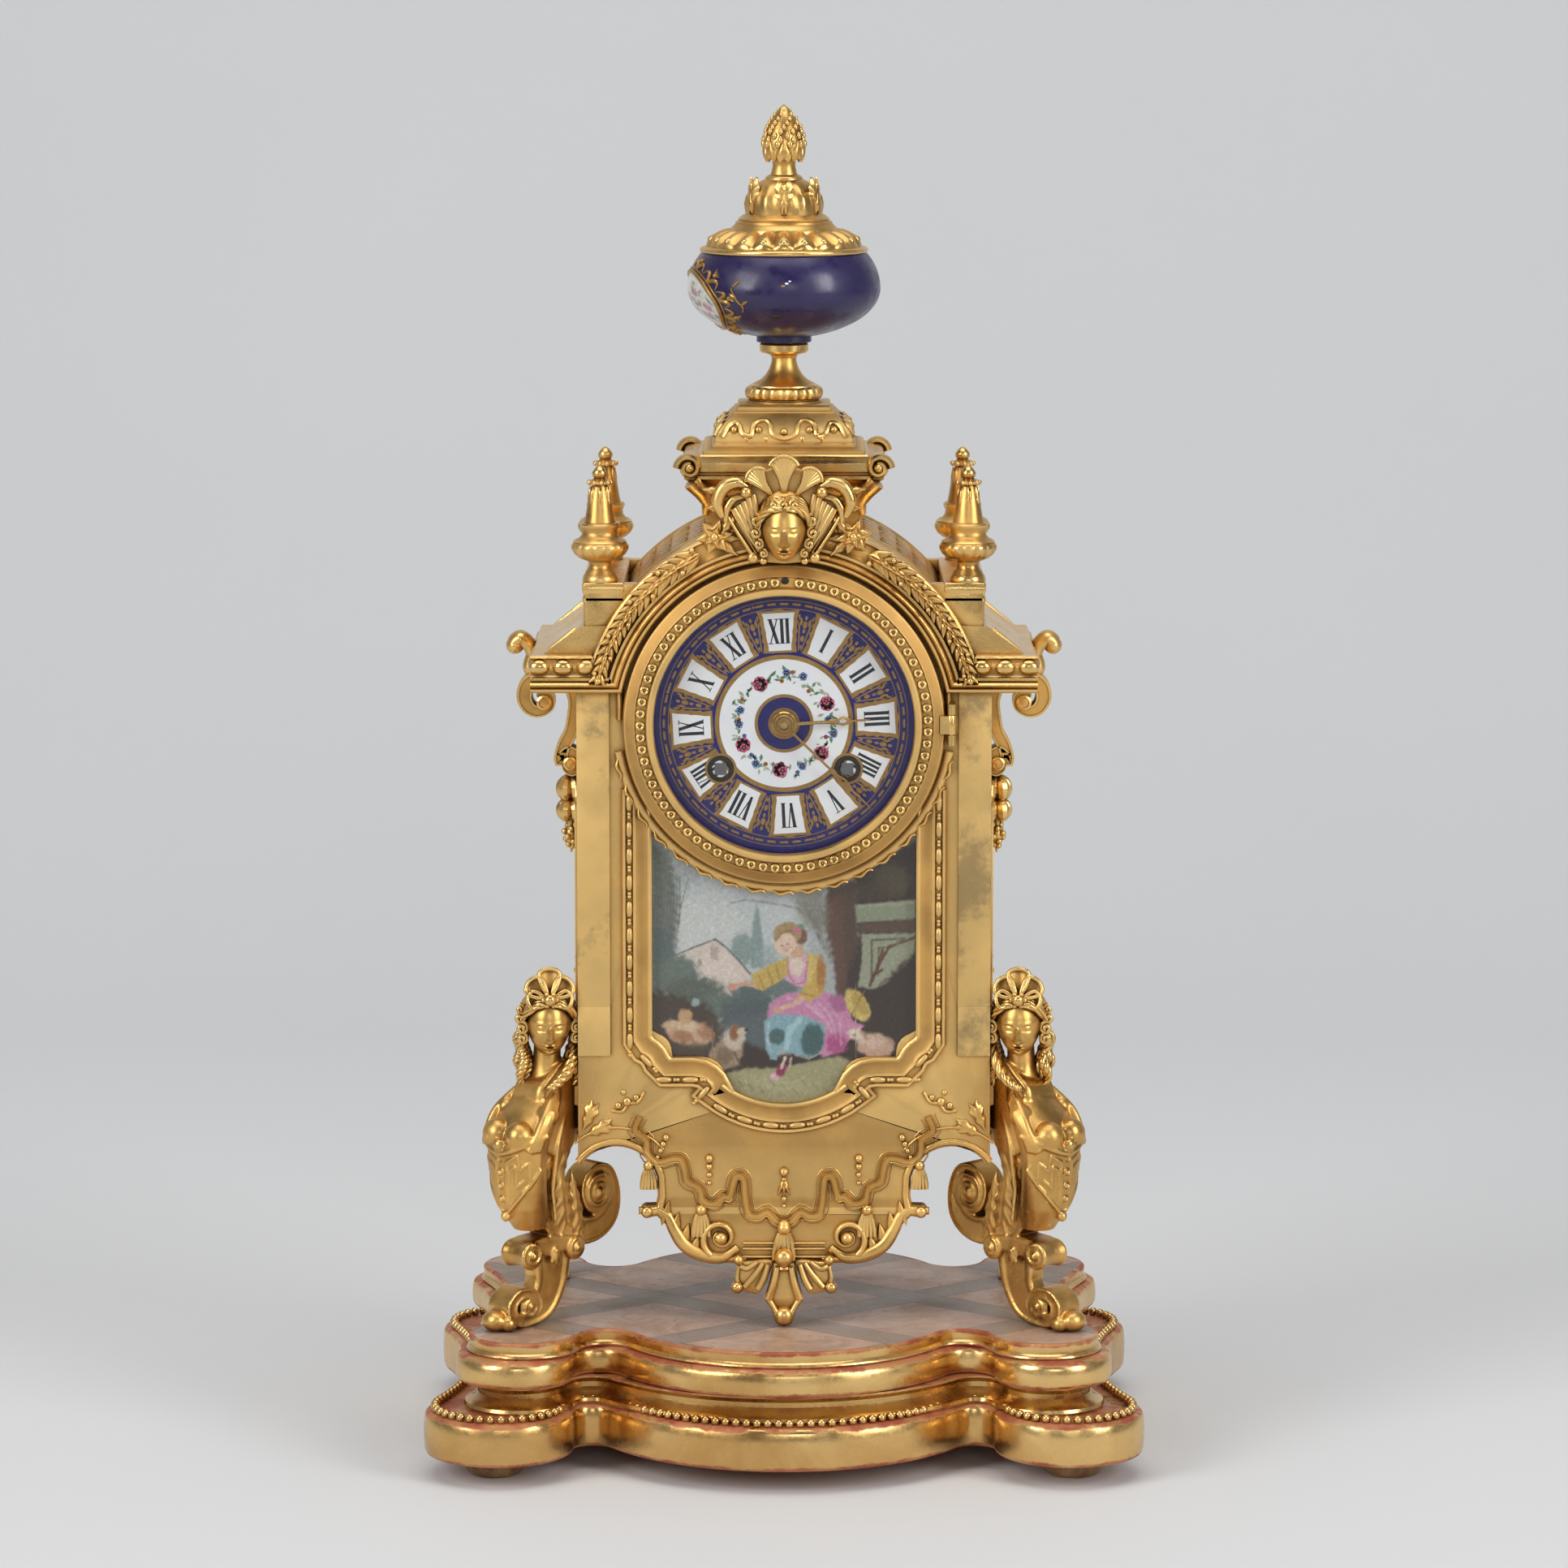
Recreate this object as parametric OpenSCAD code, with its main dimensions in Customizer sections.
// Gilt mantel clock with a porcelain dial and panel, on a shaped giltwood stand.
// Millimetres. Origin under the centre of the stand, +Z up, the dial faces -Y.

/* [Stand] */
// Height of the four bun feet
foot_h = 7.2; // [5:0.1:10]
// Radius of a bun foot
foot_r = 9.5; // [7:0.1:12]
// Thickness of the bottom tier
base_h = 13.7; // [10:0.1:18]
// Height of the beaded strip on the bottom tier
bead_h = 2.6; // [2:0.1:4]
// Height of the hollow moulding between the tiers
cove_h = 6; // [4:0.1:9]
// Thickness of the upper gilt moulding
moulding_h = 9; // [6:0.1:12]
// Thickness of the veneered top board
board_h = 5; // [3:0.1:8]
// Radius of a corner lobe of the top board
lobe_r = 17.5; // [14:0.1:20]

/* [Case] */
// Width of the case
case_w = 130; // [108:1:160]
// Depth of the case
case_d = 78; // [70:1:96]
// Wall of the cast front and back
plate_t = 5; // [3.5:0.1:6]
// Wall of the sides and the roof
wall_t = 3; // [2:0.1:4]
// Height of the case floor above the stand
leg_h = 61.5; // [52:0.5:75]
// Height of the dial centre above the case floor
dial_up = 131; // [126:0.5:155]
// Radius of the barrel roof about the dial centre
arch_r = 63.4; // [61:0.1:76]
// Thickness of the applied bead-and-reel frame
frame_t = 3; // [2:0.1:4]
// Height of the shoulder cornice
cornice_h = 11.5; // [9:0.1:14]
// How far the cornice reaches beyond the side of the case
cornice_out = 14; // [8:0.5:18]

/* [Top ornament] */
// Greatest radius of the porcelain urn
urn_r = 30.5; // [24:0.1:38]
// Height of the porcelain urn bowl
urn_h = 26.5; // [22:0.1:32]
// Radius of the threaded tie rod
rod_r = 2; // [1.5:0.1:3]

/* [Dial and bezel] */
// Radius of the porcelain dial that shows
dial_r = 40; // [38:0.1:42]
// Thickness of the dial
dial_t = 2; // [1.5:0.1:3]
// Outer radius of the hinged bezel
bezel_r = 50.4; // [48:0.1:51.4]
// Thickness of the bezel glass
glass_t = 1.2; // [0.8:0.1:2]
// Length of the minute hand
minute_l = 38; // [30:0.5:39]
// Length of the hour hand
hour_l = 27; // [20:0.5:30]

/* [Movement] */
// Radius of the two round plates
mplate_r = 42; // [41:0.1:42.5]
// Thickness of the plates
mplate_t = 2; // [1.5:0.1:2.2]
// Distance between the plates
mplate_gap = 26; // [25:0.1:30]
// Sideways distance of each winding arbor from the dial centre
wind_x = 19.8; // [19.4:0.1:20.2]
// Drop of the winding arbors below the dial centre
wind_z = 14.3; // [13.5:0.1:15]
// Width of a winding square across its flats
square_w = 3.7; // [3:0.1:4]
// Length of the pendulum from its pivot to the centre of the bob
pend_l = 115; // [95:1:120]
// Radius of the pendulum bob
bob_r = 12; // [9:0.5:16]
// Radius of the bell
bell_r = 28; // [22:0.5:30]

/* [Hidden] */
$fn = 64;
fine = 96;      // segments of the large round pieces
few = 24;       // segments of the small round pieces
gap = 0.3;      // clearance between pieces that move past each other
run = 0.05;     // radial running clearance of an arbor in its hole

// levels of the stand and the case
base_z = foot_h;
tier_z = base_z + base_h;
cove_z = tier_z;
moulding_z = tier_z + bead_h + cove_h;
board_z = moulding_z + moulding_h;
stand_h = board_z + board_h;
floor_z = stand_h + leg_h;
dial_z = floor_z + dial_up;
half_w = case_w / 2;
half_d = case_d / 2;
front_y = -half_d;
inner_y = front_y + plate_t;
shoulder_z = dial_z + 10;
shelf_z = shoulder_z + cornice_h;
pier_top = dial_z + 43.6;
pier_in = 44;
pier_out = half_w - 2;

// plan of the stand: corner lobes, hollow waists and a bowed front and back
leg_x = half_w + 19;
leg_y = half_d + 3;
lobe_x = leg_x - 2;
lobe_y = leg_y + 8;

// movement levels, measured back from the inner face of the front plate
dial_y = front_y - 3;
mfront_y = front_y + 5;
mback_y = mfront_y + mplate_gap;
dial_hole = 43.5;
dial_seat = dial_r + 2;
hinge_x = bezel_r + 1.8;
hinge_y = front_y - 6.5;
hinge_r = 1.3;
pin_r = 0.5;

// trains: modules and tooth counts
m_barrel = 0.4;
m_fine = 0.31;
m_cannon = 0.5;
m_hour = 0.48;
great_n = 92;
inter_n = 70;
centre_n = 84;
third_n = 77;
escape_n = 40;
lock_n = 56;
minute_n = 36;
hour_n = 40;
p_inter = 12;
p_centre = 10;
p_fine = 7;
p_cannon = 12;
p_minute = 10;

function polar(r, a) = [r * cos(a), r * sin(a)];
function centres(m, a, b) = m * (a + b) / 2;
function angle_to(p, q) = atan2(q[1] - p[1], q[0] - p[0]);
function dist(p, q) = norm(q - p);
// point at distance r1 from p and r2 from q, on the left of the line from p to q
function meet(p, r1, q, r2) =
    let (d = dist(p, q), a = (r1 * r1 - r2 * r2 + d * d) / (2 * d), h = sqrt(r1 * r1 - a * a))
    p + polar(a, angle_to(p, q)) + polar(h, angle_to(p, q) + 90);
// rotation of gear 2 that puts a gap at the tooth line of gear 1, turned by t1
function mesh_turn(t1, n1, n2, dir) = dir + 180 + 180 / n2 - (t1 - dir) * n1 / n2;

going_c = [wind_x, -wind_z];
strike_c = [-wind_x, -wind_z];
centre_c = [0, 0];
escape_c = [0, 24];
pivot_c = [0, 35.5];
inter_c = meet(centre_c, centres(m_barrel, inter_n, p_centre), going_c,
    centres(m_barrel, great_n, p_inter));
third_c = meet(centre_c, centres(m_fine, centre_n, p_fine), escape_c,
    centres(m_fine, third_n, p_fine));
pin_c = strike_c + polar(centres(m_barrel, great_n, p_inter), 111.75);
lock_c = pin_c + polar(centres(m_fine, inter_n, p_fine), 55);
fly_c = lock_c + polar(centres(m_fine, lock_n, p_fine), 86);
minute_c = polar(centres(m_cannon, p_cannon, minute_n), 60);
hammer_c = [-30, -24];
post_c = [14, -36];

// turn of every wheel at rest, so that the trains are in mesh
centre_t = 0;
inter_wheel_t = mesh_turn(centre_t, p_centre, inter_n, angle_to(centre_c, inter_c));
great_t = mesh_turn(0, p_inter, great_n, angle_to(inter_c, going_c));
third_pin_t = mesh_turn(centre_t, centre_n, p_fine, angle_to(centre_c, third_c));
escape_pin_t = mesh_turn(0, third_n, p_fine, angle_to(third_c, escape_c));
cannon_mesh_t = mesh_turn(0, p_cannon, minute_n, angle_to(centre_c, minute_c));
hour_mesh_t = mesh_turn(0, p_minute, hour_n, angle_to(minute_c, centre_c));
strike_t = mesh_turn(0, p_inter, great_n, angle_to(pin_c, strike_c));
lock_pin_t = mesh_turn(0, inter_n, p_fine, angle_to(pin_c, lock_c));
fly_pin_t = mesh_turn(0, lock_n, p_fine, angle_to(lock_c, fly_c));

gilt = "goldenrod";
cobalt = "midnightblue";

// extrude a shape drawn in the dial's plane (x right, z up) over depths y0 to y0 + h
module slab_y(y0, h) translate([0, y0 + h, 0]) rotate([90, 0, 0]) linear_extrude(h) children();
// the same, with the drawing's origin on the dial's centre
module on_dial(c, y0, h) translate([c[0], 0, dial_z + c[1]]) slab_y(y0, h) children();
module disc(c, y0, h, r) on_dial(c, y0, h) circle(r);
module both() for (s = [0, 1]) mirror([s, 0, 0]) children();
module four() for (a = [0, 1], b = [0, 1]) mirror([a, 0, 0]) mirror([0, b, 0]) children();

// ---------------------------------------------------------------- stand

function arc(c, r, a0, a1, n) = [for (i = [0 : n]) c + polar(r, a0 + (a1 - a0) * i / n)];
// one quarter of a tier's outline, from the waist round the lobe and the notch to the bow;
// lx, ly, lr place the corner lobe, nr and na its notch, fy the bow and wx the waist
function quarter(lx, ly, lr, nr, na, fy, wx) =
    let (lobe = [lx, ly], notch = lobe + polar(nr + lr, 180 - na), q = fy - notch[1],
        bow_r = (notch[0] * notch[0] + q * q - nr * nr) / (2 * (q + nr)), bow = [0, fy - bow_r],
        waist_r = ((wx - lx) * (wx - lx) + ly * ly - lr * lr) / (2 * (lr - wx + lx)),
        waist = [wx + waist_r, 0], wa = angle_to(waist, lobe), ba = angle_to(bow, notch))
    concat(arc(waist, waist_r, 180, wa, 6), arc(lobe, lr, wa - 180, 180 - na, 14),
        arc(notch, nr, -na, ba - 180, 7), arc(bow, bow_r, ba, 90, 9));
function flip(points, sx, sy) = [for (p = points) [p[0] * sx, p[1] * sy]];
function backwards(points) = [for (i = [len(points) - 1 : -1 : 0]) points[i]];
module plan(lx, ly, lr, nr, na, fy, wx) {
    q = quarter(lx, ly, lr, nr, na, fy, wx);
    polygon(concat(q, backwards(flip(q, -1, 1)), flip(q, -1, -1), backwards(flip(q, 1, -1))));
}
module board_plan() plan(lobe_x, lobe_y, lobe_r, 9, 12, half_d + 40, leg_x + 5.5);
module moulding_plan()
    plan(lobe_x + 2.5, lobe_y + 3, lobe_r + 1, 8, 6, half_d + 42.5, leg_x + 10);
module cove_plan() plan(lobe_x + 1, lobe_y + 2, lobe_r - 3.5, 9, 12.5, half_d + 38, leg_x + 5);
module base_plan(grow)
    plan(lobe_x + 7.5, lobe_y + 8, lobe_r + 6 + grow, 6 - grow, 2, half_d + 47.5 + grow,
        leg_x + 19 + grow);

module stand_feet() color("peru")
    four() translate([lobe_x + 9, lobe_y + 8, 0])
        rotate_extrude() polygon([[0, 0], [foot_r - 2, 0], [foot_r, foot_h * 0.35],
            [foot_r, foot_h * 0.7], [foot_r - 1.5, foot_h], [0, foot_h]]);
module stand_base() color(gilt)
    translate([0, 0, base_z]) linear_extrude(base_h) base_plan(0);
module stand_bead_strip() color(gilt)
    translate([0, 0, tier_z]) linear_extrude(bead_h) difference() {
        base_plan(-1);
        base_plan(-3.4);
    }
module stand_cove() color(gilt)
    translate([0, 0, cove_z]) linear_extrude(bead_h + cove_h) cove_plan();
module stand_moulding() color(gilt)
    translate([0, 0, moulding_z]) linear_extrude(moulding_h) moulding_plan();
module stand_top() color("rosybrown")
    translate([0, 0, board_z]) linear_extrude(board_h) board_plan();

// ---------------------------------------------------------------- case

panel_w = 41.5;      // half width of the porcelain panel
panel_ring = 54;     // radius of the ring moulding that cuts the panel's top
notch_z = floor_z + 24.6;
panel_z = floor_z + 9.8;

// cartouche of the porcelain panel, grown by g, above z = notch and panel levels
module cartouche(g) {
    polygon([[-panel_w - g, dial_z], [-panel_w - g, notch_z + 8 - g], [-35.5 - g, notch_z - g],
        [-23.5 - g * 0.4, notch_z - g], [-20.5, notch_z - 7 - g], [20.5, notch_z - 7 - g],
        [23.5 + g * 0.4, notch_z - g], [35.5 + g, notch_z - g], [panel_w + g, notch_z + 8 - g],
        [panel_w + g, dial_z]]);
    intersection() {
        translate([0, panel_z + 32]) circle(32 + g);
        translate([-23.5 - g, panel_z - g]) square([47 + 2 * g, 20]);
    }
}

apron_w = 40;                // half width of the apron at its waist
apron_drop = 42;             // depth of the apron below the case floor
foot_gap = half_w - 12;      // centre of the arch beside the apron
module apron_shape() {
    translate([-apron_w, floor_z - 25]) square([2 * apron_w, 25]);
    intersection() {
        translate([0, floor_z - 13]) circle(apron_w + 4);
        translate([-apron_w, floor_z - apron_drop]) square([2 * apron_w, 30]);
    }
}

module front_shape() {
    translate([-half_w, floor_z]) square([case_w, shoulder_z - floor_z]);
    translate([0, dial_z]) circle(arch_r, $fn = fine);
}

module case_front() color(gilt)
    difference() {
        slab_y(front_y, plate_t) union() {
            front_shape();
            apron_shape();
            both() difference() {
                translate([apron_w, floor_z - 8]) square([half_w - apron_w, 8]);
                translate([foot_gap, floor_z - 17]) circle(13.2);
            }
        }
        disc([0, 0], front_y - 1, plate_t + 2, dial_hole);
        slab_y(front_y - 1, plate_t + 2) difference() {
            cartouche(0);
            translate([0, dial_z]) circle(panel_ring);
        }
    }

module frame_moulding() color(gilt)
    slab_y(front_y - frame_t, frame_t) {
        difference() {
            cartouche(8.5);
            cartouche(0);
            translate([0, dial_z]) circle(panel_ring);
        }
        translate([0, dial_z]) difference() {
            circle(panel_ring, $fn = fine);
            circle(bezel_r + 0.6, $fn = fine);
            translate([-panel_ring, -9]) square([2 * panel_ring, panel_ring + 10]);
        }
    }

hood_in = bezel_r + 1.1;
hood_t = 8;
module arch_cornice() color(gilt)
    slab_y(front_y - hood_t, hood_t) difference() {
        union() {
            translate([0, dial_z]) circle(arch_r - 0.4, $fn = fine);
            translate([-half_w - cornice_out, shoulder_z])
                square([case_w + 2 * cornice_out, cornice_h]);
        }
        translate([0, dial_z]) circle(hood_in, $fn = fine);
        translate([-case_w, dial_z - 100]) square([2 * case_w, 100 + shoulder_z - dial_z]);
    }

module porcelain_panel() color("lightsteelblue")
    slab_y(front_y + 1.2, 2.4) difference() {
        cartouche(-0.05);
        translate([0, dial_z]) circle(panel_ring + 0.05);
        translate([-panel_w, dial_z - 4]) square([2 * panel_w, 8]);
    }

pilaster_w = 10.5;
pilaster_t = 1.5;
module pilasters() color(gilt)
    both() translate([half_w - pilaster_w, front_y - pilaster_t, floor_z + 25])
        cube([pilaster_w, pilaster_t, shoulder_z - floor_z - 25]);

module case_side() color(gilt)
    translate([half_w - wall_t, inner_y, floor_z])
        cube([wall_t, case_d - 2 * plate_t, shoulder_z - floor_z]);
module case_side_left() mirror([1, 0, 0]) case_side();
module case_side_right() case_side();

back_hole = 46;
module case_back() color(gilt)
    difference() {
        slab_y(half_d - plate_t, plate_t) union() {
            front_shape();
            both() difference() {
                translate([0, floor_z - 8]) square([half_w, 8]);
                translate([0, floor_z - 60]) circle(54 + half_w / 10, $fn = fine);
            }
        }
        disc([0, 0], half_d - plate_t - 1, plate_t + 2, back_hole);
    }

module roof_barrel() color(gilt)
    intersection() {
        on_dial([0, 0], inner_y, case_d - 2 * plate_t) difference() {
            circle(arch_r, $fn = fine);
            circle(arch_r - wall_t, $fn = fine);
        }
        difference() {
            translate([-arch_r, inner_y, shoulder_z])
                cube([2 * arch_r, case_d - 2 * plate_t, arch_r]);
            cylinder(h = 2 * dial_z, r = rod_r + run, $fn = few);
        }
    }

// shoulders: cornice and sloped slab along each side
module shoulders() color(gilt)
    both() difference() {
        slab_y(front_y, case_d) polygon([[pier_in, shoulder_z], [half_w, shoulder_z],
            [half_w + cornice_out, shoulder_z + 4], [half_w + cornice_out, shelf_z],
            [half_w + cornice_out - 3, shelf_z], [pier_out, shelf_z + 9], [pier_in, shelf_z + 9]]);
        on_dial([0, 0], front_y - 1, case_d + 2) circle(arch_r, $fn = fine);
    }

module finial_piers() color(gilt)
    both() difference() {
        slab_y(front_y + 1, case_d - 2) polygon([[pier_in, shelf_z + 9], [pier_out - 1.5, shelf_z + 9],
            [pier_out - 1.5, pier_top - 6], [pier_out, pier_top - 5], [pier_out, pier_top],
            [pier_in, pier_top]]);
        on_dial([0, 0], front_y, case_d) circle(arch_r, $fn = fine);
    }

finial_x = half_w - 7.5;
finial_y = half_d - 6.5;
module small_finial() rotate_extrude($fn = 48)
    polygon([[0, 0], [5.5, 0], [5.5, 2.6], [3.4, 4.2], [3.4, 6], [6.5, 8], [9, 10.5], [9, 12],
        [6.5, 14.2], [5.6, 16.5], [6.2, 18.3], [4.9, 18.6], [4.4, 24], [2.6, 30], [3.8, 31.4],
        [2.4, 33], [2.6, 34.4], [0, 36.4]]);
module corner_finials() color(gilt)
    four() translate([finial_x, finial_y, pier_top]) small_finial();

slab_z = dial_z + arch_r - 1.2;      // seat of the slab, let into the crown of the roof
slab_w = 25;
slab_h = 20.4;
slab_top = 7.6;      // thickness of the slab's projecting top
slab_w2 = 31.6;
module roof_slab() color(gilt)
    difference() {
        union() {
            translate([-slab_w, -slab_w, slab_z - 8])
                cube([2 * slab_w, 2 * slab_w, 8 + slab_h - slab_top]);
            translate([-slab_w2, -slab_w2, slab_z + slab_h - slab_top])
                cube([2 * slab_w2, 2 * slab_w2, slab_top]);
        }
        on_dial([0, 0], -case_d, 2 * case_d) circle(arch_r, $fn = 192);
        cylinder(h = 2 * dial_z, r = rod_r + run, $fn = few);
    }

pedestal_z = slab_z + slab_h;
pedestal_h = 14.5;
pedestal_w = 22;
plate_w = 14.7;
pedestal_low = 25.4;
module urn_pedestal() color(gilt)
    difference() {
        for (s = [[pedestal_low, 0, 1.6], [pedestal_w, 0, 10], [pedestal_w - 3, 0, 13],
            [plate_w, 0, pedestal_h]])
            translate([-s[0], -s[0], pedestal_z + s[1]]) cube([2 * s[0], 2 * s[0], s[2]]);
        cylinder(h = 2 * dial_z, r = rod_r + run, $fn = few);
    }

foot_z = pedestal_z + pedestal_h;
urn_foot_h = 19;
module urn_foot() color(gilt)
    translate([0, 0, foot_z]) rotate_extrude($fn = 64)
        polygon([[rod_r + run, 0], [11.5, 0], [12.2, 2], [12, 4.5], [8, 6], [5.8, 8.6], [3.9, 12.5],
            [4.6, 15], [7.7, 16.6], [7.7, urn_foot_h - 0.6], [7, urn_foot_h],
            [rod_r + run, urn_foot_h]]);

urn_z = foot_z + urn_foot_h;
neck_r = urn_r - 4.5;        // radius of the urn's mouth
collar_r = 8.7;              // blue collar under the bowl
collar_h = 1.9;
belly_h = urn_h - 11.4;      // height of the widest line above the bowl's underside
porcelain_t = 2.6;
bowl_z = urn_z + collar_h;
low_a = acos(collar_r / urn_r);
top_a = acos(neck_r / urn_r);
low_b = belly_h / sin(low_a);
top_b = (urn_h - belly_h) / sin(top_a);
// point on the bowl at angle a above the widest line, t inside the surface
function bowl_point(a, t) = [(urn_r - t) * cos(a),
    bowl_z + belly_h + ((a < 0 ? low_b : top_b) - t) * sin(a)];
bowl_n = 18;
function bowl_side(t, a0) = [for (i = [0 : bowl_n]) bowl_point(a0 + (top_a - a0) * i / bowl_n, t)];
module urn_body() color(cobalt)
    rotate_extrude($fn = fine) polygon(concat(
        [[rod_r + run, urn_z], [collar_r, urn_z]], bowl_side(0, -low_a),
        [[neck_r - porcelain_t, bowl_z + urn_h]],
        backwards(bowl_side(porcelain_t, -low_a - 8)),
        [[rod_r + run, bowl_z + porcelain_t]]));

lid_z = bowl_z + urn_h;
lid_r = neck_r - 1.9;
lid_h = 24.7;
module urn_lid() color(gilt)
    translate([0, 0, lid_z]) rotate_extrude($fn = fine)
        polygon([[rod_r + run, 0], [lid_r + 2.5, 0], [lid_r + 2.5, 1.6], [lid_r, 2.4], [lid_r - 2, 6],
            [16, 7.6], [16, 9.2], [14.4, 10.2], [14.4, 11.4], [11.4, 12.6], [11.4, 16],
            [9, 20.5], [5.8, 23], [5.8, lid_h], [rod_r + run, lid_h]]);

pine_z = lid_z + lid_h;
module pine_finial() color(gilt)
    translate([0, 0, pine_z]) rotate_extrude($fn = 48)
        polygon([[rod_r + run, 0], [4, 0], [3.6, 4.4], [6, 6.4], [7, 9.5], [6.6, 12.4], [4.6, 16.5],
            [2.4, 20], [0, 21.8], [0, 9], [rod_r + run, 9]]);

washer_r = 7;
washer_z = dial_z + sqrt(pow(arch_r - wall_t, 2) - washer_r * washer_r) - 1.05;
rod_bottom = washer_z - 6;
module tie_rod() color("dimgray")
    union() {
        translate([0, 0, rod_bottom]) cylinder(h = pine_z + 9 - rod_bottom, r = rod_r, $fn = few);
        translate([0, 0, washer_z - 4]) cylinder(h = 4.5, r = 5, $fn = 6);
        translate([0, 0, washer_z]) cylinder(h = 1, r = washer_r, $fn = 32);
    }

// ---------------------------------------------------------------- ornament

mask_y = front_y - hood_t;
module crest_mask() color(gilt)
    union() {
        slab_y(mask_y - 6, 6) translate([0, dial_z + arch_r + 6]) difference() {
            union() {
                circle(15);
                translate([-19, -5]) square([38, 9]);
            }
            translate([0, -arch_r - 6]) circle(bezel_r + 1, $fn = fine);
        }
    }
module garlands() color(gilt)
    both() for (i = [0 : 5])
        on_dial(polar(59.2, 66 - 9.2 * i), mask_y - 3 + i * 0.3, 3 - i * 0.3) circle(3.4, $fn = 32);

// S-shaped bracket between the end of the cornice and the side of the case
module scroll_shape() {
    ring_c = [half_w + 11, shoulder_z - 8];
    low_c = [half_w + 4.2, shoulder_z - 28];
    translate(ring_c) circle(7.2);
    translate(low_c) circle(4.2);
    translate([half_w + 14.1, shoulder_z - 6]) square([4.2, 13]);
    translate([half_w + 19, shoulder_z + 10.5]) circle(3.2);
    translate([half_w + 14.1, shoulder_z + 5]) square([4.2, 6]);
    polygon([low_c + [-2.4, 1], low_c + [3.2, 0], ring_c + [-4, -2], ring_c + [-6.8, -1],
        ring_c + [-8, 0]]);
    translate(low_c + [-3.4, -27]) square([6.8, 25]);
}
module scroll_bracket() color(gilt)
    difference() {
        slab_y(-4.5, 9) scroll_shape();
        slab_y(-half_d, case_d) polygon([[0, shoulder_z], [half_w, shoulder_z],
            [half_w + cornice_out, shoulder_z + 4], [half_w + cornice_out, shelf_z + 20],
            [0, shelf_z + 20]]);
    }
module scroll_left() mirror([1, 0, 0]) scroll_bracket();
module scroll_right() scroll_bracket();

// caryatid leg, drawn in a plane through the case corner; u points outwards.
// The foot keeps its height above the stand, and the bust and scroll follow the case floor.
function up(k) = stand_h + k;
function from_floor(k) = floor_z + k;
leg_t = 15;          // thickness of the leg across its plane
bust_z = from_floor(-31.5);
module leg_outline() {
    // foot, shaft and capital
    translate([12, up(4.2)]) circle(4.2);
    translate([-2, up(8.5)]) circle(8.5);
    translate([-2, up(0)]) square([14, 8]);
    polygon([[-10.5, up(8)], [3, up(10)], [-1, up(20)], [-12, up(22)]]);
    translate([-13, up(19)]) square([17, bust_z - up(19)]);
    // bust and swelling body
    polygon([[-14, bust_z], [6, bust_z], [10, from_floor(-23.5)], [9.5, from_floor(-5.5)],
        [6, from_floor(6.5)], [-2, from_floor(15.5)], [-8, from_floor(22.5)],
        [-20, from_floor(22.5)], [-20, from_floor(-1.5)], [-26, from_floor(-9.5)]]);
    // scroll under the case
    polygon([[-14, bust_z], [-33, from_floor(-37.5)], [-26, from_floor(-9.5)],
        [-10, from_floor(-5.5)]]);
    translate([-33, from_floor(-24.5)]) circle(12.5);
}
module leg() color(gilt)
    difference() {
        translate([leg_x, -leg_y, 0]) rotate([0, 0, -45]) {
            slab_y(-leg_t / 2, leg_t) leg_outline();
            translate([-13, 0, from_floor(32.5)]) sphere(10.8, $fn = 48);
        }
        // seat against the corner of the case
        translate([-half_w, front_y - 2, floor_z - 8]) cube([case_w, case_d, 200]);
        translate([0, front_y - frame_t - 0.1, floor_z]) cube([half_w - 13, 10, 100]);
    }
module leg_front_left() mirror([1, 0, 0]) leg();
module leg_front_right() leg();

module rear_legs() color(gilt)
    both() slab_y(half_d - plate_t - 9, 9) polygon([[half_w + 5.5, stand_h],
        [half_w + 15.5, stand_h], [half_w + 13, up(14)], [half_w + 15, from_floor(-21.5)],
        [half_w + 9, from_floor(4.5)], [half_w, from_floor(14.5)], [half_w, floor_z],
        [half_w - 3, floor_z], [half_w - 3, from_floor(-7.5)], [half_w + 5, from_floor(-13.5)],
        [half_w + 6, up(20)]]);

module apron_shell() color(gilt)
    slab_y(front_y - 6, 6) {
        translate([0, up(16)]) circle(6);
        polygon([[-18.5, up(11)], [-7, up(5)], [-2.6, up(1)], [2.6, up(1)], [7, up(5)],
            [18.5, up(11)], [16, from_floor(0.5 - apron_drop)],
            [-16, from_floor(0.5 - apron_drop)]]);
    }

// ---------------------------------------------------------------- dial and bezel

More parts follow.
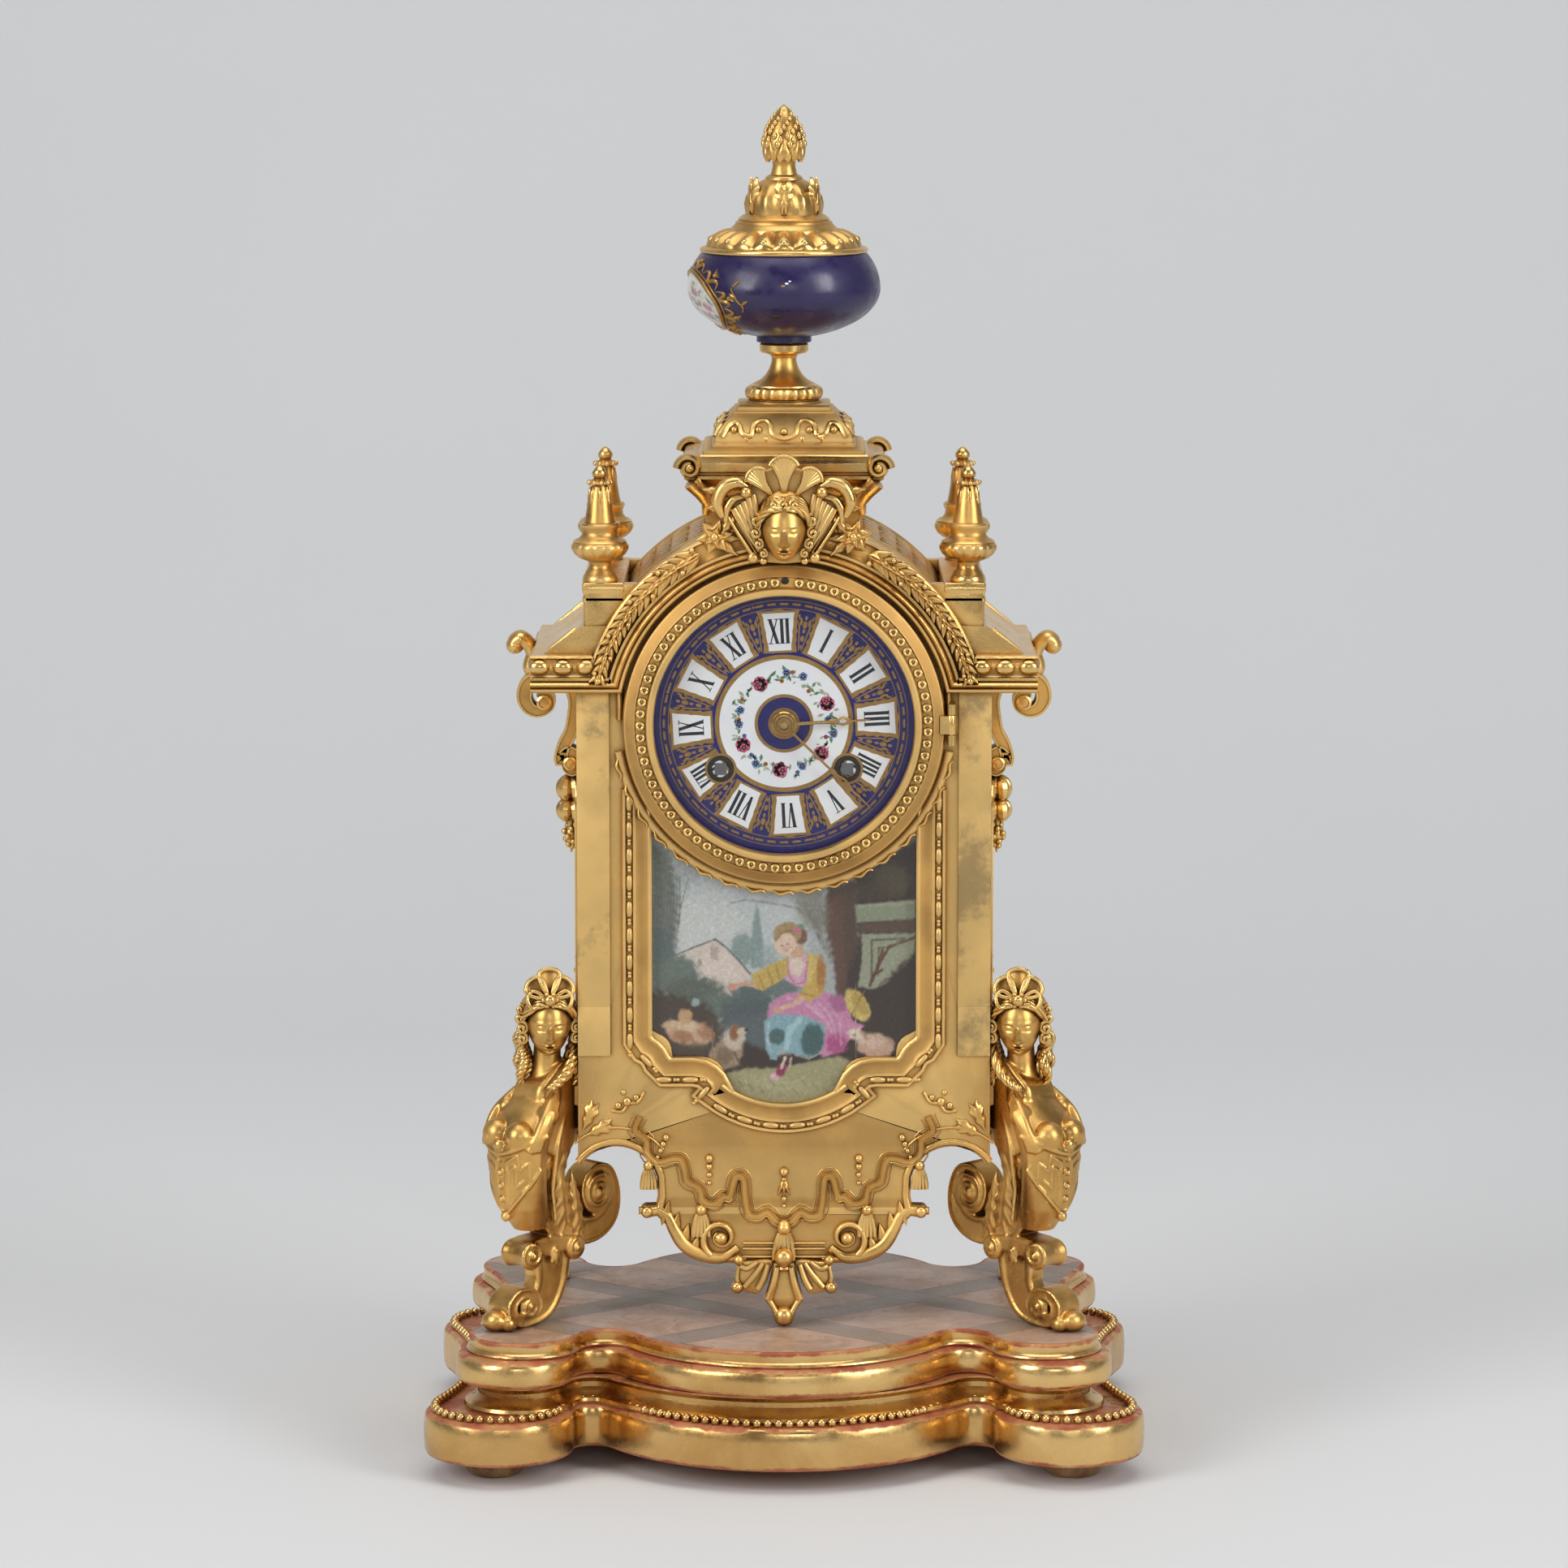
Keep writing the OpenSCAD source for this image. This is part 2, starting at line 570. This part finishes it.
wind_hole = 4.4;
ring_depth = 5;      // how far the dial ring reaches into the front
pipe_hole = 3.4;
module dial_ring() color("darkgoldenrod")
    difference() {
        union() {
            disc([0, 0], front_y - 2, 2, bezel_r - 1);
            disc([0, 0], front_y, ring_depth, dial_hole - 0.2);
        }
        disc([0, 0], front_y - 3, 10, dial_seat + run, $fn = fine);
    }
module dial() color("white")
    difference() {
        disc([0, 0], dial_y, dial_t, dial_seat);
        for (c = [going_c, strike_c]) disc(c, dial_y - 1, dial_t + 2, wind_hole);
        disc([0, 0], dial_y - 1, dial_t + 2, pipe_hole);
    }
glass_y = front_y - 9.6;
glass_r = dial_r + 2.4;
module bezel() color(gilt)
    difference() {
        union() {
            difference() {
                translate([0, 0, dial_z]) rotate([90, 0, 0]) rotate_extrude($fn = fine)
                    polygon([[dial_r + 0.6, half_d + 4.6], [bezel_r, half_d + 2.3],
                        [bezel_r, half_d + 5], [bezel_r - 2, half_d + 7.4], [bezel_r - 6, half_d + 9],
                        [dial_r + 3.4, half_d + 10.6], [dial_r + 3, half_d + 10.6],
                        [dial_r + 0.6, half_d + 6]]);
                disc([0, 0], glass_y, 8, glass_r + run);
            }
            translate([bezel_r - 3, hinge_y - 1, dial_z - 3]) cube([hinge_x - bezel_r + 3, 2, 6]);
            translate([hinge_x, hinge_y, dial_z - 3]) cylinder(h = 6, r = hinge_r, $fn = few);
        }
        translate([hinge_x, hinge_y, dial_z - 4]) cylinder(h = 8, r = pin_r + run, $fn = few);
        disc([0, 0], glass_y, 8, dial_r + 0.6, $fn = fine);
    }
module bezel_glass() color("lightcyan", 0.3)
    disc([0, 0], glass_y, glass_t, glass_r, $fn = fine);
module bezel_hinge() color("darkgoldenrod")
    union() {
        translate([hinge_x, hinge_y, dial_z - 6.5]) cylinder(h = 13, r = pin_r, $fn = few);
        for (s = [-1, 1]) translate([hinge_x, hinge_y, dial_z + s * 4.9 - 1.6]) {
            cylinder(h = 3.2, r = hinge_r, $fn = few);
            translate([-hinge_r, 0, 0]) cube([2 * hinge_r, front_y - hinge_y, 3.2]);
        }
    }

// ---------------------------------------------------------------- movement

// toothed outline: add and ded in modules, root and tip as shares of the pitch
module gear(n, m, turn, add, ded, root, tip) {
    r = m * n / 2;
    pitch = 360 / n;
    polygon([for (i = [0 : n - 1]) let (a = turn + i * pitch) each [
        polar(r - ded * m, a - root * pitch / 2), polar(r + add * m, a - tip * pitch / 2),
        polar(r + add * m, a + tip * pitch / 2), polar(r - ded * m, a + root * pitch / 2)]]);
}
module wheel_teeth(n, m, turn) gear(n, m, turn, 0.75, 1.0, 0.48, 0.2);
module pinion_teeth(n, m, turn) gear(n, m, turn, 0.45, 1.2, 0.36, 0.18);

module wheel(c, y0, h, n, m, turn, windows) {
    r = m * n / 2;
    on_dial(c, y0, h) difference() {
        wheel_teeth(n, m, turn);
        if (windows > 0) for (i = [0 : windows - 1])
            translate(polar(r * 0.58, 360 / windows * (i + 0.5))) circle(r * 0.25, $fn = few);
    }
}
module pinion(c, y0, h, n, m, turn) on_dial(c, y0, h) pinion_teeth(n, m, turn);

// plain arbor between the plates, with thin pivots in both
pivot_r = 0.4;
arbor_r = 0.66;
module arbor(c) {
    disc(c, mfront_y + gap, mplate_gap - 2 * gap, arbor_r, $fn = few);
    disc(c, mfront_y - mplate_t, mplate_gap + 2 * mplate_t, pivot_r, $fn = few);
}

arbors = [inter_c, third_c, escape_c, pin_c, lock_c, fly_c];
pillars = [[0, -38], [-17.5, 34.5], [17.5, 34.5], [38.2, 3]];
pillar_r = 2.2;
barrel_pivot = 1.5;
front_pivot = square_w / 2 * sqrt(2) + 0.1;
centre_r = 1.0;

module front_plate() color("khaki")
    difference() {
        disc([0, 0], mfront_y - mplate_t, mplate_t, mplate_r, $fn = fine);
        for (c = arbors) disc(c, mfront_y - 5, 10, pivot_r + run, $fn = few);
        for (c = [going_c, strike_c]) disc(c, mfront_y - 5, 10, front_pivot + run, $fn = 32);
        disc(centre_c, mfront_y - 5, 10, centre_r + run, $fn = few);
        disc(pivot_c, mfront_y - 5, 10, pivot_r + run, $fn = few);
        for (c = pillars) disc(c, mfront_y - 5, 10, 1, $fn = few);
        disc(minute_c, mfront_y - 5, 10, 0.8, $fn = few);
    }
module back_plate() color("khaki")
    union() {
        difference() {
            disc([0, 0], mback_y, mplate_t, mplate_r, $fn = fine);
            for (c = arbors) disc(c, mback_y - 5, 10, pivot_r + run, $fn = few);
            for (c = [going_c, strike_c]) disc(c, mback_y - 5, 10, barrel_pivot + run, $fn = few);
            disc(centre_c, mback_y - 5, 10, centre_r + run, $fn = few);
            disc(pivot_c, mback_y - 5, 10, arbor_r + 0.5, $fn = few);
        }
        for (c = pillars) {
            disc(c, mfront_y, mplate_gap, pillar_r, $fn = few);
            disc(c, mfront_y - mplate_t, mplate_t, 0.95, $fn = few);
        }
        // cock that carries the pendulum's pivot
        difference() {
            on_dial(pivot_c, mback_y + mplate_t + 6, 1.5) union() {
                circle(3.5, $fn = 32);
                translate([-13, -2.5]) square([13, 5]);
            }
            disc(pivot_c, mback_y, 20, pivot_r + run, $fn = few);
        }
        on_dial(pivot_c + [-11, 0], mback_y + mplate_t, 6) circle(2, $fn = few);
    }

drum_y = mfront_y + 3;
great_y = mfront_y + 15.5;
module barrel(c, turn) color("khaki")
    difference() {
        union() {
            disc(c, drum_y, great_y - drum_y, 17, $fn = fine);
            wheel(c, great_y, 2, great_n, m_barrel, turn, 0);
        }
        disc(c, drum_y - 1, 20, 2 + run, $fn = 32);
    }
module winding_arbor(c) color("gainsboro") {
    on_dial(c, dial_y - 0.5, mfront_y - mplate_t - dial_y + 1) square(square_w, center = true);
    disc(c, mfront_y - mplate_t - gap, mplate_t + 2 * gap + 1, front_pivot, $fn = 32);
    disc(c, mfront_y, mplate_gap - gap, 2, $fn = 32);
    disc(c, mfront_y, mplate_gap + mplate_t + 0.5, barrel_pivot, $fn = few);
}
module going_barrel() barrel(going_c, great_t);
module strike_barrel() barrel(strike_c, strike_t);
module going_arbor() winding_arbor(going_c);
module strike_arbor() winding_arbor(strike_c);

module intermediate_wheel() color("khaki") {
    arbor(inter_c);
    pinion(inter_c, great_y - 1, 4, p_inter, m_barrel, 0);
    wheel(inter_c, great_y + 3.5, 1.2, inter_n, m_barrel, inter_wheel_t, 4);
}
cannon_y = mfront_y - mplate_t;
module centre_wheel() color("khaki") {
    disc(centre_c, cannon_y - 10.4, mplate_gap + 2 * mplate_t + 10.4 + 1, centre_r, $fn = few);
    pinion(centre_c, great_y + 2.9, 2.4, p_centre, m_barrel, centre_t);
    wheel(centre_c, mfront_y + 1, 1.2, centre_n, m_fine, centre_t, 4);
    pinion(centre_c, cannon_y - 2.2, 2, p_cannon, m_cannon, 0);
    disc(centre_c, cannon_y - 9, 7, 1.6, $fn = few);
}
module third_wheel() color("khaki") {
    arbor(third_c);
    pinion(third_c, mfront_y + 0.6, 2.4, p_fine, m_fine, third_pin_t);
    wheel(third_c, mfront_y + 4, 1, third_n, m_fine, 0, 4);
}
escape_r = 8;
module escape_wheel() color("khaki") {
    arbor(escape_c);
    pinion(escape_c, mfront_y + 3.4, 2.2, p_fine, m_fine, escape_pin_t);
    on_dial(escape_c, mfront_y + 9, 1) polygon([for (i = [0 : escape_n - 1])
        let (a = 360 / escape_n * i) each [polar(escape_r - 1.3, a), polar(escape_r, a + 1),
        polar(escape_r - 1.3, a + 4)]]);
}
pad_r = escape_r + 1;
module pallet_arbor() color("silver") {
    disc(pivot_c, mfront_y - mplate_t, mplate_gap + 2 * mplate_t + 9, pivot_r, $fn = few);
    disc(pivot_c, mfront_y + gap, mplate_gap + mplate_t + 2.3 - gap, arbor_r, $fn = few);
    on_dial(pivot_c, mfront_y + 9, 1) {
        circle(2, $fn = few);
        both() polygon([[0, 1.4], [1, -1.2], polar(pad_r, 40) + escape_c - pivot_c,
            polar(pad_r + 1.6, 42) + escape_c - pivot_c]);
    }
    // crutch behind the back plate
    on_dial(pivot_c, mback_y + mplate_t + 1, 1) union() {
        circle(2.2, $fn = few);
        translate([-0.8, -32]) square([1.6, 32]);
    }
}
rod_y = mback_y + mplate_t + 2.6;
module pendulum() color("khaki") {
    on_dial(pivot_c, rod_y, 2) difference() {
        union() {
            circle(2.4, $fn = few);
            translate([-0.9, -pend_l - bob_r - 7]) square([1.8, pend_l + bob_r + 7]);
        }
        circle(pivot_r, $fn = few);
    }
    translate([0, rod_y + 1, dial_z + pivot_c[1] - pend_l]) rotate([90, 0, 0])
        rotate_extrude($fn = 64) polygon([[0, -4.5], [bob_r - 3, -3.5], [bob_r, -0.8], [bob_r, 0.8],
            [bob_r - 3, 3.5], [0, 4.5]]);
    translate([0, rod_y + 1, dial_z + pivot_c[1] - pend_l - bob_r - 5])
        cylinder(h = 3, r = 3, $fn = few);
}

// motion work under the dial
hour_pipe = 2.3;
module hour_wheel() color("khaki")
    difference() {
        union() {
            wheel(centre_c, cannon_y - 3.7, 0.8, hour_n, m_hour, hour_mesh_t, 4);
            disc(centre_c, dial_y - 2.6, cannon_y - 3.7 - dial_y + 2.6, hour_pipe, $fn = few);
        }
        disc(centre_c, dial_y - 10, 20, 1.6 + run, $fn = few);
    }
module minute_wheel() color("khaki")
    union() {
        wheel(minute_c, cannon_y - 1.6, 0.8, minute_n, m_cannon, cannon_mesh_t, 4);
        pinion(minute_c, cannon_y - 3.8, 1.1, p_minute, m_hour, 0);
        disc(minute_c, cannon_y - 2.9, 1.5, 1.5, $fn = few);
        disc(minute_c, cannon_y - 2.9, 2.9 + mplate_t, 0.75, $fn = few);
    }

// hands; each is drawn pointing up and turned to the time that shows
minute_turn = 134;
hour_turn = 87;
module hand_shape(len, w) {
    polygon([[-w, 3], [-0.5 * w, len * 0.45], [-1.3 * w, len * 0.62], [-0.35 * w, len * 0.74],
        [0, len], [0.35 * w, len * 0.74], [1.3 * w, len * 0.62], [0.5 * w, len * 0.45], [w, 3]]);
}
module hour_hand() color("darkgoldenrod")
    difference() {
        on_dial(centre_c, dial_y - 2.4, 0.6) union() {
            rotate(-hour_turn) hand_shape(hour_l, 1.1);
            circle(4, $fn = 48);
        }
        disc(centre_c, dial_y - 3, 5, hour_pipe, $fn = few);
    }
module minute_hand() color("darkgoldenrod")
    difference() {
        union() {
            on_dial(centre_c, dial_y - 4, 0.6) {
                rotate(-minute_turn) hand_shape(minute_l, 0.9);
                circle(3.2, $fn = 48);
            }
            disc(centre_c, dial_y - 5, 1, 2.6, $fn = few);
        }
        disc(centre_c, dial_y - 8, 8, 1.6, $fn = few);
    }

// striking train
module pin_wheel() color("khaki") {
    arbor(pin_c);
    pinion(pin_c, great_y - 1, 4, p_inter, m_barrel, 0);
    wheel(pin_c, great_y + 3.5, 1, inter_n, m_fine, 0, 4);
}
module locking_wheel() color("khaki") {
    arbor(lock_c);
    pinion(lock_c, great_y + 2.8, 2.4, p_fine, m_fine, lock_pin_t);
    wheel(lock_c, great_y - 0.5, 1, lock_n, m_fine, 0, 4);
}
module fly() color("khaki") {
    arbor(fly_c);
    pinion(fly_c, great_y - 1.2, 2.4, p_fine, m_fine, fly_pin_t);
    on_dial(fly_c, mfront_y + 6, 7) square([12, 0.6], center = true);
}
bell_y = mback_y + mplate_t + 10;
bell_h = 14;
module hammer() color("silver") {
    disc(hammer_c, mback_y + mplate_t + gap, 12, 1.1, $fn = few);
    on_dial(hammer_c, bell_y - 2, 1.6) union() {
        circle(2.4, $fn = few);
        polygon([[-1.2, 0], [1.2, 0], [-2.0, 25], [-4.4, 25]]);
    }
    translate([-bell_r - 4.4, bell_y + 2, dial_z]) sphere(3.2, $fn = 32);
}
module bell() color("lightgray")
    union() {
        difference() {
            translate([0, bell_y, dial_z]) rotate([-90, 0, 0]) rotate_extrude($fn = fine)
                polygon([[1.5, bell_h - 1.6], [bell_r * 0.7, bell_h - 1.6], [bell_r - 1.6, 4],
                    [bell_r - 1.4, 0], [bell_r, 0], [bell_r, 4.4], [bell_r * 0.74, bell_h],
                    [1.5, bell_h]]);
        }
        // stand that holds the bell behind the back plate
        disc([0, 0], bell_y + bell_h - 2.4, 6, 2, $fn = few);
        on_dial([0, 0], bell_y + bell_h + 2, 1.6) polygon([[-2.5, 2.5], [2.5, 2.5],
            post_c + [2.4, -1], post_c + [-2.4, -1]]);
        disc(post_c, mback_y + mplate_t, bell_y + bell_h + 3.6 - mback_y - mplate_t, 2, $fn = few);
    }
door_r = back_hole + 4;
door_hinge_x = door_r + 1.6;
door_hinge_y = half_d + 1.7;
module back_door() color("darkgoldenrod")
    union() {
        difference() {
            disc([0, 0], half_d + 0.4, 2, door_r, $fn = fine);
            for (i = [0 : 11]) disc(polar(28, 30 * i), half_d - 1, 5, 3, $fn = few);
        }
        difference() {
            translate([door_hinge_x, door_hinge_y, dial_z - 6])
                cylinder(h = 12, r = hinge_r, $fn = few);
            translate([door_hinge_x, door_hinge_y, dial_z - 7])
                cylinder(h = 14, r = 0.6, $fn = few);
        }
        translate([back_hole + 2, half_d + 0.8, dial_z - 5]) cube([2.6, 1.6, 10]);
    }

stand_feet();
stand_base();
stand_bead_strip();
stand_cove();
stand_moulding();
stand_top();
case_front();
frame_moulding();
arch_cornice();
porcelain_panel();
pilasters();
case_side_left();
case_side_right();
case_back();
roof_barrel();
shoulders();
finial_piers();
corner_finials();
roof_slab();
urn_pedestal();
urn_foot();
urn_body();
urn_lid();
pine_finial();
tie_rod();
crest_mask();
garlands();
scroll_left();
scroll_right();
leg_front_left();
leg_front_right();
rear_legs();
apron_shell();
dial_ring();
dial();
bezel();
bezel_glass();
bezel_hinge();
front_plate();
back_plate();
going_barrel();
going_arbor();
strike_barrel();
strike_arbor();
intermediate_wheel();
centre_wheel();
third_wheel();
escape_wheel();
pallet_arbor();
pendulum();
minute_hand();
hour_hand();
hour_wheel();
minute_wheel();
pin_wheel();
locking_wheel();
fly();
hammer();
bell();
back_door();
